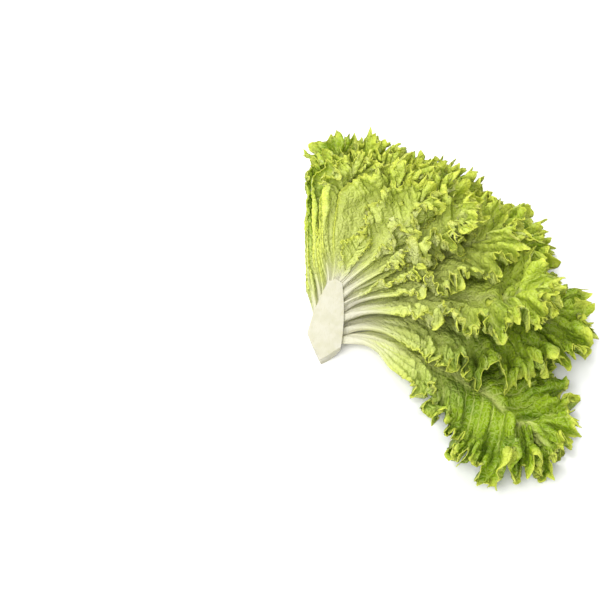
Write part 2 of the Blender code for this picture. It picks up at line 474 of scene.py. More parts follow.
LOBES = Notch(length=0.0110, depth=0.0062, pointed=False, fade=5)
TEETH = Notch(length=0.0036, depth=0.0056, pointed=True, fade=14)
FRINGE = Notch(length=0.0022, depth=0.0028, pointed=True, fade=30)


@dataclass(frozen=True)
class Unevenness:
    """How a row of ruffles varies: spans in ruffles, and the rest as shares of a ruffle.

    Ruffles are tight where the leaves are close, and grow by roomy where the room is enough.
    """

    length_span: float = 2.5
    length_spread: float = 0.40
    crest_span: float = 1.2
    crest_spread: float = 0.16
    height_span: float = 1.8
    height_middle: float = 0.85
    height_spread: float = 0.55
    height_limits: Span = (0.2, 1.5)
    tight: float = 0.8
    roomy: float = 0.5
    enough_room: float = 0.012


@dataclass(frozen=True)
class Curl:
    """How the whole edge leans to the side where it has more room."""

    lean: float = 0.0025
    limit: float = 0.0100
    reach: float = 0.034
    fade: float = 1.6


@dataclass(frozen=True)
class BladeRelief:
    """How the blade rises between its veins, away from its edge, its rib and the stem."""

    puff: float = 0.0013
    blister: float = 0.0013
    blister_span: float = 0.009
    grain: float = 0.0008
    grain_span: float = 0.0055
    lowest: float = -0.0022
    highest: float = 0.0032
    billow: float = 0.0028
    billow_room: float = 0.28
    billow_span: float = 0.034
    fanned: float = 0.25
    channel: float = 0.0012
    room_share: float = 0.6
    edge_margin: float = 0.006
    rib_margin: float = 0.012
    stem_margin: Span = (0.025, 0.070)


@dataclass(frozen=True)
class LeafSection:
    """How thick a leaf is: a thin blade, and a fleshy rib that tapers to the tip."""

    blade: float = 0.0005
    rib: float = 0.0062
    rib_width: float = 0.0098
    narrowest: float = 0.08
    taper: float = 1.5
    ridge_share: float = 0.9
    ridge_fall: float = 2.6
    foot: float = 0.0044
    foot_length: float = 0.090

    def rib_reach(self, out: np.ndarray, length: float, size: float) -> np.ndarray:
        """Half the rib's width at a distance out from the stem."""
        return self.rib_width * size * np.clip(1 - out / length, self.narrowest, 1)

    def thickness(
        self, across: np.ndarray, out: np.ndarray, length: float, size: float
    ) -> np.ndarray:
        """Thickness of the leaf.

        Args:
            across: Distance across the leaf from the middle of its rib.
            out: Distance out from the stem.
            length: The leaf's length.
            size: Its size against an outermost leaf.

        Returns:
            The thickness at each point, that of the rib at most.
        """
        taper = np.clip(1 - out / length, 0, 1) ** self.taper
        reach = self.ridge_share * self.rib_reach(out, length, size)
        ridge = np.exp(-(np.abs(across / reach) ** self.ridge_fall))
        foot = self.foot * np.clip(1 - out / self.foot_length, 0, 1) * size**2
        return np.minimum(
            self.blade + (self.rib - self.blade) * size * taper * ridge + foot, self.rib
        )


@dataclass
class FrilledLeaf:
    """A leaf as one thin sheet with a rib, veins and a frilled, toothed edge.

    The sheet is a grid. Its columns run from the rib to the edge as side veins do, and its rows
    run along the leaf. Its arrays are columns by rows, or broadcast to that.
    """

    plan: LeafPlan
    neighbours: list[LeafPlan]
    materials: list[bpy.types.Material]
    section: LeafSection = LeafSection()
    relief: BladeRelief = BladeRelief()
    curl: Curl = Curl()
    vary: Unevenness = Unevenness()
    column_step: float = 0.000625
    least_columns: int = 24
    edge_stretch: float = 1.18
    rows: int = 22
    rib_crowding: float = 1.3
    edge_crowding: float = 1.8
    vein_start: float = 0.86
    vein_slant: float = 0.30
    vein_step: float = 0.011
    vein_span: float = 0.05
    vein_spread: float = 0.25
    lobe_centre: float = 0.55
    reach_limit: float = math.radians(65)
    cut_limit: float = math.radians(112)
    root_turn: float = 0.66
    spring_out: float = 0.055
    frill_scaling: float = 0.65
    fixed_vein: float = 0.5
    fixed_ruffle: float = 0.35
    fixed_room: float = 0.55
    small_leaf: Span = (0.05, 0.10)
    small_frill: float = 0.65
    frill_start: Span = (0.26, 0.56)
    tip_start: Span = (0.80, 0.96)
    flank_degrees: Span = (46, 72)
    flank_held: float = 0.94
    room_used: float = 1.1
    least_gap: float = 0.001
    overlap: float = 0.006
    free_up: float = 0.018
    free_down: float = 0.009
    ruffle_fade: float = 1.15
    sway_stretch: float = 1.3
    crest_held: float = 0.25
    teeth_turned: float = 0.6
    table_clear: float = 0.0004
    heart_lift: float = 0.004
    table_softness: float = 0.0016
    top_limit: float = 0.0958
    top_softness: float = 0.0040
    finish_scaling: float = 0.6
    fan_end: float = 0.9
    random: np.random.Generator = field(init=False)
    side: np.ndarray = field(init=False)
    along: np.ndarray = field(init=False)
    inward: np.ndarray = field(init=False)
    free: np.ndarray = field(init=False)
    share: np.ndarray = field(init=False)
    across: np.ndarray = field(init=False)
    out: np.ndarray = field(init=False)
    angles: np.ndarray = field(init=False)
    layers: np.ndarray = field(init=False)
    smooth: tuple[np.ndarray, np.ndarray, np.ndarray] = field(init=False)
    vein: np.ndarray = field(init=False)
    rib_reach: np.ndarray = field(init=False)
    points: np.ndarray = field(init=False)

    def __post_init__(self) -> None:
        """Gives the leaf its own source of random numbers."""
        self.random = np.random.default_rng(FIRST_SEED + self.plan.number)

    @property
    def size(self) -> float:
        """Size of its frills against those of an outermost leaf."""
        return (self.plan.length / self.plan.bowl.outer_length) ** self.frill_scaling

    def scaled(self, fixed: float) -> float:
        """Its size, with a share that is the same on every leaf."""
        return fixed + (1 - fixed) * self.size

    def lay_out(self) -> None:
        """Works out the flat sheet: for each point its distance across and out, and its angle."""
        plan = self.plan
        wanted = round(self.edge_stretch * plan.length / self.column_step)
        outline, run = plan.edge(max(self.least_columns, wanted))
        half = len(outline) - 1
        self.side = np.concatenate([-np.ones(half), [0], np.ones(half)])
        edge = np.concatenate([outline, outline[-2::-1]])
        slanted = self.vein_slant * np.clip(edge[:, 0] - plan.root_width, 0, None)
        rib = self.vein_start * edge[:, 1] - slanted
        self.along = np.concatenate([run - run[-1], (run[-1] - run)[-2::-1]])[:, None]
        self.free = self.freedom(edge)[:, None]
        even = np.linspace(0, 1, self.rows)[None, :]
        self.share = 1 - (1 - even**self.rib_crowding) ** self.edge_crowding
        self.inward = (1 - self.share) * np.hypot(edge[:, 0], edge[:, 1] - rib)[:, None]

        outward = unit(edge - [0, self.lobe_centre * plan.length])
        grown = self.notches(LOBES) * self.free * self.share**LOBES.fade
        across = edge[:, :1] * self.share + outward[:, :1] * grown
        out = rib[:, None] * (1 - self.share) + edge[:, 1:] * self.share
        self.out = out + outward[:, 1:] * grown
        self.across = np.clip(across, 0, None) * self.side[:, None]

        middle = np.full_like(self.out, plan.angle)
        self.layers = np.full_like(self.out, plan.layer)
        turned = self.across / plan.bowl.turn_width(middle, self.out, self.layers)
        room = np.minimum(self.reach_limit, self.cut_limit - self.side * plan.angle)[:, None]
        widest = np.abs(turned).max(axis=1, keepdims=True)
        turned *= np.minimum(1, room / np.maximum(widest, 1e-9))
        self.angles = self.trimmed(middle + turned)
        self.smooth = self.smooth_axes(outward * np.stack([self.side, np.ones(len(edge))], axis=1))

    def freedom(self, edge: np.ndarray) -> np.ndarray:
        """How freely each column ruffles: not near the stem, and little on the left flank.

        Args:
            edge: The edge's points, across and out.

        Returns:
            A share of the full ruffles for each column.
        """
        plan = self.plan
        middle = np.full(len(edge), plan.angle)
        turn = plan.bowl.turn_width(middle, edge[:, 1], np.full(len(edge), plan.layer))
        angle = np.degrees(plan.angle + self.side * edge[:, 0] / turn)
        reached = edge[:, 1] / plan.length
        held = self.flank_held * ease(-angle, *self.flank_degrees)
        held = held * (1 - ease(reached, *self.tip_start)) if plan.layer < 1 else 0.0
        small = self.small_frill + (1 - self.small_frill) * ease(plan.length, *self.small_leaf)
        return ease(reached, *self.frill_start) * small * (1 - held)

    def trimmed(self, angles: np.ndarray) -> np.ndarray:
        """Angles drawn in under the cut near the stem."""
        return angles * (self.root_turn + (1 - self.root_turn) * ease(self.out, 0, self.spring_out))

    def uneven(self, span: float, middle: float, spread: float) -> np.ndarray:
        """A value that wanders about a middle one along the edge, for each column."""
        return middle + spread * drift(self.random, [self.along], span)

    def turns(self, length: float, span: float, spread: float) -> np.ndarray:
        """A count of waves of about this length along the edge, for each column."""
        pace = self.uneven(span, 1, spread) / length
        return np.cumsum(pace * np.gradient(self.along[:, 0])[:, None], axis=0)

    def notches(self, notch: Notch) -> np.ndarray:
        """How far one size of lobe or tooth moves the edge out.

        Args:
            notch: The size of lobe or tooth.

        Returns:
            Distances for each column.
        """
        step = notch.length * self.size
        span = notch.span * step
        turns = self.turns(step, span, notch.length_spread)
        rounded = np.abs(np.sin(math.pi * (turns + self.random.uniform()))) ** notch.roundness
        saw = 1 - np.abs(2 * ((turns + self.random.uniform()) % 1) - 1)
        uneven = self.uneven(span, notch.depth_middle, notch.depth_spread)
        depth = notch.depth * self.size * uneven
        return depth * ((saw if notch.pointed else rounded) - notch.sunk)

    def phase(self, length: float) -> np.ndarray:
        """The angle of a row of waves along the edge.

        Args:
            length: About how long each wave is.

        Returns:
            Angles in radians at each point.
        """
        vary = self.vary
        turns = self.turns(length, vary.length_span * length, vary.length_spread)
        grid = [self.along + 0 * self.inward, self.inward]
        wander = vary.crest_spread * drift(self.random, grid, vary.crest_span * length)
        return 2 * math.pi * (turns + self.random.uniform() + wander)

    def crest(self, ruffle: Ruffle, length: float, half_room: np.ndarray) -> np.ndarray:
        """Height of one size of ruffle at each point.

        Args:
            ruffle: The size of ruffle.
            length: Its length on this leaf.
            half_room: Half the room between the next leaves.

        Returns:
            Heights, uneven along the edge, fading inward and within the room.
        """
        vary = self.vary
        uneven = self.uneven(vary.height_span * length, vary.height_middle, vary.height_spread)
        uneven = np.clip(uneven, *vary.height_limits)
        uneven = uneven * (vary.tight + vary.roomy * ease(half_room, 0, vary.enough_room))
        height = np.minimum(ruffle.height * self.size * uneven, ruffle.room_share * half_room)
        near = np.clip(1 - self.inward / (ruffle.reach * self.size), 0, 1)
        return height * (near**self.ruffle_fade * self.free)

    def rooms(self) -> tuple[np.ndarray, np.ndarray]:
        """How far each point may move before it meets the next leaf.

        Returns:
            The room below each point and the room above it.
        """
        plan = self.plan
        gap = np.maximum(plan.bowl.gap(self.angles, self.out, self.layers), self.least_gap)
        scale = self.scaled(self.fixed_room)
        free_down, free_up = self.free_down * scale, self.free_up * scale
        below = np.full_like(self.out, free_down)
        above = np.full_like(self.out, free_up)
        for other in self.neighbours:
            if other is plan:
                continue
            room, free = (above, free_up) if other.layer > plan.layer else (below, free_down)
            step = self.room_used * abs(other.layer - plan.layer) * gap / 2
            clear = ease(other.outside(self.angles, self.out), -self.overlap, self.overlap)
            np.minimum(room, step * (1 - clear) + np.maximum(free, step) * clear, out=room)
        return below, above

    def smooth_axes(self, aim: np.ndarray) -> tuple[np.ndarray, np.ndarray, np.ndarray]:
        """Unit vectors of the smooth bowl at each point of the sheet.

        Args:
            aim: For each column, the way out to the edge, as its parts across and out.

        Returns:
            Normals that look to the heart, then vectors along the edge and out to it.
        """
        bowl = self.plan.bowl
        turn, slide = 0.01, 0.001
        angles, out, layers = self.angles, self.out, self.layers
        here = bowl.point(angles, out, layers)
        sideways = bowl.point(angles + turn, out, layers) - bowl.point(angles - turn, out, layers)
        lengthwise = bowl.point(angles, out + slide, layers) - here
        normal = unit(np.cross(sideways, lengthwise))
        inner = bowl.point(angles, out, layers + 2 * turn) - here
        normal = normal * math.copysign(1, (inner * normal).sum())
        across, outer = aim[:, None, :1], aim[:, None, 1:]
        outward = unit(unit(sideways) * across + unit(lengthwise) * outer)
        along = np.cross(normal, outward)
        run = np.gradient(here, axis=0)
        return normal, along * math.copysign(1, (along * run).sum()), outward

    def axes(self, points: np.ndarray) -> tuple[np.ndarray, np.ndarray]:
        """Unit normals of a moved sheet and vectors out to its edge, held near the smooth ones.

        Args:
            points: The sheet's points, columns by rows.

        Returns:
            Both vectors at each point, shorter where they turn away from the smooth ones.
        """
        outward = unit(np.gradient(points, self.share[0], axis=1))
        normal = np.cross(np.gradient(points, axis=0), outward)
        normal[:, 0] = normal[:, 0] + normal[::-1, 0]
        normal = unit(normal)
        smooth_normal, _, smooth_outward = self.smooth
        normal = normal * math.copysign(1, (normal * smooth_normal).sum())
        held = []
        for vectors, smooth in ((normal, smooth_normal), (outward, smooth_outward)):
            agree = np.clip((vectors * smooth).sum(axis=-1, keepdims=True), 0, 1)
            held.append(vectors * agree)
        return held[0], held[1]

    def ruffled(self, points: np.ndarray, below: np.ndarray, above: np.ndarray) -> np.ndarray:
        """The sheet's points after every size of ruffle has moved them.

        Args:
            points: The smooth sheet.
            below: Room under each point.
            above: Room over each point.

        Returns:
            The moved points.
        """
        curl = self.curl
        lean = np.clip((above - below) / 2 + curl.lean, 0, curl.limit)
        near = np.clip(1 - self.inward / curl.reach, 0, 1) ** curl.fade * self.free
        smooth_normal, smooth_along, smooth_outward = self.smooth
        points = points + smooth_normal * (lean * near)[..., None]
        steep = np.ones_like(self.inward)
        for ruffle in RUFFLES:
            length = ruffle.length * self.scaled(self.fixed_ruffle)
            phase = self.phase(length)
            height = self.crest(ruffle, length, (below + above) / 2)
            normal, _ = self.axes(points)
            normal = smooth_normal * (1 - ruffle.turned) + normal * ruffle.turned
            lift = height * np.sin(phase) * (1 - ruffle.turned * (1 - steep))
            sway = height * ruffle.sway * np.sin(self.phase(self.sway_stretch * length))
            meander = height / (ruffle.height * self.size) * ruffle.meander * length
            points = points + normal * lift[..., None] + smooth_outward * sway[..., None]
            points = points - smooth_along * (meander * np.sin(2 * phase))[..., None]
            steep = self.crest_held + (1 - self.crest_held) * np.cos(phase) ** 2
        _, outward = self.axes(points)
        outward = (1 - self.teeth_turned) * smooth_outward + self.teeth_turned * outward
        for notch in (TEETH, FRINGE):
            grown = self.notches(notch) * self.free * self.share**notch.fade
            points = points + outward * grown[..., None]
        return points

    def bulged(self, points: np.ndarray, half_room: np.ndarray) -> np.ndarray:
        """Puffs the blade up between its veins and blisters it.

        Args:
            points: The smooth sheet.
            half_room: Half the room between the next leaves.

        Returns:
            The moved points.
        """
        relief = self.relief
        window = ease(self.inward, 0, relief.edge_margin)
        window = window * ease(np.abs(self.across), 0, relief.rib_margin)
        window = window * ease(self.out, *relief.stem_margin)
        fan = relief.fanned + (1 - relief.fanned) * self.share
        grid = [self.along * fan, self.inward + 0 * self.along]
        puff = relief.puff * np.sin(math.pi * self.vein) ** 2
        blister = relief.blister * drift(self.random, grid, relief.blister_span)
        blister = blister + relief.grain * drift(self.random, grid, relief.grain_span)
        billow = relief.billow + relief.billow_room * half_room
        billow = billow * drift(self.random, grid, relief.billow_span)
        move = np.clip((puff + blister) * window, relief.lowest, relief.highest) + billow * window
        limit = relief.room_share * half_room
        move = limit * np.tanh(move / np.maximum(limit, 1e-6))
        channel = relief.channel * np.exp(-((self.across / self.rib_reach) ** 2))
        return points + self.smooth[0] * (move - np.minimum(channel, limit))[..., None]

    def shape_sheet(self) -> np.ndarray:
        """Works out the sheet's points.

        Returns:
            The thickness at each point.
        """
        self.lay_out()
        plan = self.plan
        step = self.vein_step * self.scaled(self.fixed_vein)
        self.vein = self.turns(step, self.vein_span, self.vein_spread) + 0 * self.share
        self.rib_reach = self.section.rib_reach(self.out, plan.length, self.size)
        thickness = self.section.thickness(self.across, self.out, plan.length, self.size)
        below, above = self.rooms()
        points = plan.bowl.point(self.angles, self.out, self.layers)
        points = self.bulged(points, (below + above) / 2)
        points = self.ruffled(points, below, above)
        floor = thickness / 2 + self.table_clear + self.heart_lift * plan.layer
        height = floor + above_zero(points[..., 2] - floor, self.table_softness)
        points[..., 2] = self.top_limit - above_zero(self.top_limit - height, self.top_softness)
        half = len(points) // 2
        points[:half, 0] = points[: half : -1, 0]
        self.points = points
        return thickness

    def values(self) -> dict[str, np.ndarray]:
        """Works out what the leaf's finish reads.

        Returns:
            Values at each point, by name.
        """
        plan = self.plan
        spacing = np.linalg.norm(np.gradient(self.points, axis=0), axis=-1)
        pace = np.abs(np.gradient(self.vein, axis=0))
        scale = plan.bowl.outer_length / plan.length
        fan_out = np.clip(self.out, 0, self.fan_end * plan.length)
        return {
            "from_edge": self.inward / MM,
            "from_stem": self.out / MM * scale**self.finish_scaling,
            "rib": np.exp(-((self.across / self.rib_reach) ** 2)),
            "fan": self.across / plan.half_width(fan_out),
            "vein": self.vein,
            "vein_gap": spacing / np.maximum(pace, 1e-9) / MM,
            "youth": np.full_like(self.out, min(plan.layer, 1.0)),
        }

    def build(self) -> bpy.types.Object:
        """Makes the leaf's object.

        Returns:
            The leaf, with a live Solidify that gives the sheet its thickness.
        """
        thickness = self.shape_sheet()
        columns, rows = self.points.shape[:2]
        shape = bmesh.new()
        bmesh.ops.create_grid(shape, x_segments=columns - 1, y_segments=rows - 1, size=1)
        mesh = bpy.data.meshes.new(self.plan.name + "_frilled")
        shape.to_mesh(mesh)
        shape.free()

        places = np.empty(len(mesh.vertices) * 3)
        mesh.vertices.foreach_get("co", places)
        grid = places.reshape(-1, 3)
        column = np.rint((grid[:, 0] + 1) / 2 * (columns - 1)).astype(int)
        row = np.rint((grid[:, 1] + 1) / 2 * (rows - 1)).astype(int)
        mesh.vertices.foreach_set("co", self.points[column, row].ravel())
        for name, value in self.values().items():
            layer = mesh.attributes.new(name, "FLOAT", "POINT")
            layer.data.foreach_set("value", value[column, row].astype(np.float32))

        made = show(mesh)
        group = made.vertex_groups.new(name="thickness")
        self.weld(mesh, group.index, thickness[column, row] / self.section.rib)
        mesh.shade_smooth()
        for material in self.materials:
            mesh.materials.append(material)
        shell = made.modifiers.new("thickness", "SOLIDIFY")
        shell.thickness = self.section.rib
        shell.offset = 0
        shell.vertex_group = group.name
        shell.material_offset = Face.OUTER.value
        return made

    def weld(self, mesh: bpy.types.Mesh, group: int, weights: np.ndarray) -> None:
        """Joins the sheet's halves along the rib and turns its faces to the heart.

        Args:
            mesh: The sheet, which is changed.
            group: Index of the vertex group that gives the thickness.
            weights: Each point's weight in that group.
        """
        shape = bmesh.new()
        shape.from_mesh(mesh)
        tag = shape.verts.layers.deform.verify()
        for vert, weight in zip(shape.verts, weights):
            vert[tag][group] = float(weight)
        bmesh.ops.remove_doubles(shape, verts=shape.verts, dist=0.02 * MM)
        mean = Vector(self.smooth[0][:, self.rows // 2].mean(axis=0))
        facing = sum((face.normal for face in shape.faces), Vector())
        if facing.dot(mean) < 0:
            bmesh.ops.reverse_faces(shape, faces=shape.faces)
        shape.to_mesh(mesh)
        shape.free()

    def dress(self) -> bpy.types.Object:
        """Builds the leaf and puts it in the place of its solid.

        Returns:
            The leaf's object.
        """
        made = self.build()
        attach(made, "root")
        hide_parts(self.plan.name)
        return made


@dataclass
class Stem:
    """The cut stem: a turned body, halved, trimmed at its foot, with worn edges."""

    bowl: Bowl
    material: bpy.types.Material
    sides: int = 96
    rings: int = 40
    trim_left: float = math.radians(55)
    trim_right: float = math.radians(42)
    sharp_angle: float = math.radians(28)
    edge_round: float = 0.0009

    @property
    def place(self) -> Matrix:
        """Stands Z along the stem, with X to the right and Y down out of the cut."""
        bowl = self.bowl
        turn = Matrix([[bowl.right[k], -bowl.cut_normal[k], bowl.axis[k]] for k in range(3)])
        return Matrix.Translation(Vector(bowl.foot)) @ turn.to_4x4()

    def turned(self) -> bmesh.types.BMesh:
        """Spins the stem's profile, tip to foot, into a closed body round Z.

        Returns:
            The body.
        """
        bowl = self.bowl
        shape = bmesh.new()
        profile = [shape.verts.new((0, 0, bowl.stem_length + bowl.tip_radius / 2))]
        for ring in range(self.rings + 1):
            along = bowl.stem_length * (1 - ring / self.rings)
            profile.append(shape.verts.new((float(bowl.stem_radius(np.array(along))), 0, along)))
        profile.append(shape.verts.new((bowl.foot_radius, 0, -bowl.foot_point)))
        profile.append(shape.verts.new((0, 0, -bowl.foot_point)))
        edges = [shape.edges.new(pair) for pair in zip(profile, profile[1:])]
        bmesh.ops.spin(
            shape,
            geom=profile + edges,
            cent=(0, 0, 0),
            axis=(0, 0, 1),
            angle=2 * math.pi,
            steps=self.sides,
            use_merge=True,
        )
        bmesh.ops.remove_doubles(shape, verts=shape.verts, dist=0.01 * MM)
        bmesh.ops.recalc_face_normals(shape, faces=shape.faces)
        return shape

    def slices(self) -> list[tuple[Vector, Vector]]:
        """Planes that cut the body: the cut face, the foot's two sides and the flat spot.

        Returns:
            A point of each plane and the way out of what is kept.
        """
        foot = Vector((0, 0, -self.bowl.foot_point))
        planes = [(Vector((0, 0, 0)), Vector((0, -1, 0)))]
        for turn in (self.trim_left, -self.trim_right):
            planes.append((foot, Matrix.Rotation(turn, 3, "Y") @ Vector((0, 0, -1))))
        spot = self.place.inverted() @ Vector((self.bowl.foot_x, self.bowl.foot_y, 0))
        planes.append((spot, self.place.to_3x3().inverted() @ Vector((0, 0, -1))))
        return planes

    @staticmethod
    def slice(shape: bmesh.types.BMesh, point: Vector, outward: Vector) -> None:
        """Slices off all that lies outside a plane and closes the slice with a face.

        Args:
            shape: The body, which is changed.
            point: A point of the plane.
            outward: The way out of what is kept.
        """
        cut = bmesh.ops.bisect_plane(
            shape,
            geom=shape.verts[:] + shape.edges[:] + shape.faces[:],
            dist=1e-7,
            plane_co=point,
            plane_no=outward,
            clear_outer=True,
        )
        rim = [item for item in cut["geom_cut"] if isinstance(item, bmesh.types.BMEdge)]
        bmesh.ops.contextual_create(shape, geom=rim)

    def build(self) -> bpy.types.Object:
        """Makes the stem's object.

        Returns:
            The stem, in its place.
        """
        shape = self.turned()
        for point, outward in self.slices():
            self.slice(shape, point, outward)
        sharp = [edge for edge in shape.edges if edge.calc_face_angle(0) > self.sharp_angle]
        bmesh.ops.bevel(
            shape,
            geom=sharp,
            offset=self.edge_round,
            offset_type="OFFSET",
            segments=3,
            profile=0.5,
            affect="EDGES",
            clamp_overlap=True,
            material=-1,
        )
        bmesh.ops.transform(shape, matrix=self.place, verts=shape.verts)
        mesh = bpy.data.meshes.new("cut_stem")
        shape.to_mesh(mesh)
        shape.free()
        mesh.materials.append(self.material)
        mesh.shade_smooth()
        return show(mesh)

    def dress(self) -> bpy.types.Object:
        """Builds the stem and puts it in the place of its solid.

        Returns:
            The stem's object.
        """
        made = self.build()
        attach(made, "root")
        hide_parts("stem")
        return made


@dataclass
class Nodes:
    """Short calls that add nodes to one tree and join them."""

    tree: bpy.types.NodeTree

    def add(self, kind: str, **settings: object) -> bpy.types.Node:
        """Adds a node.

        Args:
            kind: Blender's name for the kind of node.
            **settings: Its properties.

        Returns:
            The node.
        """
        node = self.tree.nodes.new(kind)
        for name, value in settings.items():
            setattr(node, name, value)
        return node

    def feed(self, node: bpy.types.Node, values: dict[str | int, object]) -> None:
        """Joins outputs to a node's inputs, or sets the inputs' own values.

        Args:
            node: The node.
            values: An output, a number, a colour or a vector for each input, by name or index.
        """
        for name, value in values.items():
            socket = node.inputs[name]
            if isinstance(value, bpy.types.NodeSocket):
                self.tree.links.new(value, socket)
            elif isinstance(value, tuple) and len(value) == 3 and len(socket.default_value) == 4:
                socket.default_value = (*value, 1)
            else:
                socket.default_value = value

    def math(self, operation: str, *values: object) -> bpy.types.NodeSocket:
        """Adds a Math node.

        Args:
            operation: Blender's name for what it does.
            *values: An output or a number for each input.

        Returns:
            The result.
        """
        node = self.add("ShaderNodeMath", operation=operation)
        self.feed(node, dict(enumerate(values)))
        return node.outputs[0]

    def plus(self, first: object, second: object) -> bpy.types.NodeSocket:
        """A sum."""
        return self.math("ADD", first, second)

    def less(self, first: object, second: object) -> bpy.types.NodeSocket:
        """The first value less the second."""
        return self.math("SUBTRACT", first, second)

    def times(self, first: object, second: object) -> bpy.types.NodeSocket:
        """A product."""
        return self.math("MULTIPLY", first, second)

    def mix(self, share: object, first: object, second: object) -> bpy.types.NodeSocket:
        """Mixes two colours.

        Args:
            share: How much of the second colour there is.
            first: The first colour.
            second: The second colour.

        Returns:
            The mixed colour.
        """
        node = self.add("ShaderNodeMix", data_type="RGBA")
        self.feed(node, {"Factor": share, 6: first, 7: second})
        return node.outputs[2]

    def ramp(self, value: object, low: float, high: float) -> bpy.types.NodeSocket:
        """A smooth rise as a value goes from low to high.

        Args:
            value: The value.
            low: Where the rise starts.
            high: Where it ends.

        Returns:
            From 0 at low to 1 at high.
        """
        node = self.add("ShaderNodeMapRange", interpolation_type="SMOOTHSTEP")
        self.feed(node, {"Value": value, "From Min": low, "From Max": high})
        return node.outputs[0]

    def fall(self, value: object, low: float, high: float) -> bpy.types.NodeSocket:
        """A smooth fall from 1 to 0 as a value goes from low to high."""
        return self.less(1.0, self.ramp(value, low, high))

    def noise(self, vector: object, scale: float, detail: float) -> bpy.types.NodeSocket:
        """Adds a Noise node.

        Args:
            vector: The place that it is read at.
            scale: How fine it is, per unit of place.
            detail: How many finer layers it has.

        Returns:
            Its value.
        """
        node = self.add("ShaderNodeTexNoise")
        self.feed(node, {"Vector": vector, "Scale": scale, "Detail": detail})
        return node.outputs[0]

    def bump(self, height: object, strength: float, distance: float) -> bpy.types.NodeSocket:
        """Adds a Bump node.

        Args:
            height: The relief.
            strength: How strongly it shows.
            distance: The height that 1 stands for, in metres.

        Returns:
            The bent normals.
        """
        node = self.add("ShaderNodeBump")
        self.feed(node, {"Strength": strength, "Distance": distance, "Height": height})
        return node.outputs[0]

    def read(self, name: str) -> bpy.types.NodeSocket:
        """A value that the mesh carries."""
        return self.add("ShaderNodeAttribute", attribute_name=name).outputs["Fac"]

    def place(self) -> bpy.types.NodeSocket:
        """Object coordinates."""
        return self.add("ShaderNodeTexCoord").outputs["Object"]


@dataclass(frozen=True)
class LeafTint:
    """Colours of one face of a leaf, on outer leaves and on those of the heart."""

    blade: Colour
    young_blade: Colour
    shade: Colour
    fringe: Colour
    pale: Colour
    flesh: Colour
    vein_shown: float
    roughness: float
    glow: float


INNER_TINT = LeafTint(
    blade=(0.345, 0.505, 0.014),
    young_blade=(0.670, 0.790, 0.085),
    shade=(0.165, 0.305, 0.005),
    fringe=(0.820, 0.865, 0.130),
    pale=(0.725, 0.785, 0.240),
    flesh=(0.760, 0.740, 0.580),
    vein_shown=0.70,
    roughness=0.40,
    glow=0.38,
)
OUTER_TINT = LeafTint(
    blade=(0.420, 0.570, 0.065),
    young_blade=(0.690, 0.780, 0.180),
    shade=(0.290, 0.430, 0.055),
    fringe=(0.800, 0.830, 0.160),
    pale=(0.755, 0.790, 0.320),
    flesh=(0.750, 0.735, 0.580),
    vein_shown=0.75,
    roughness=0.48,
    glow=0.38,
)


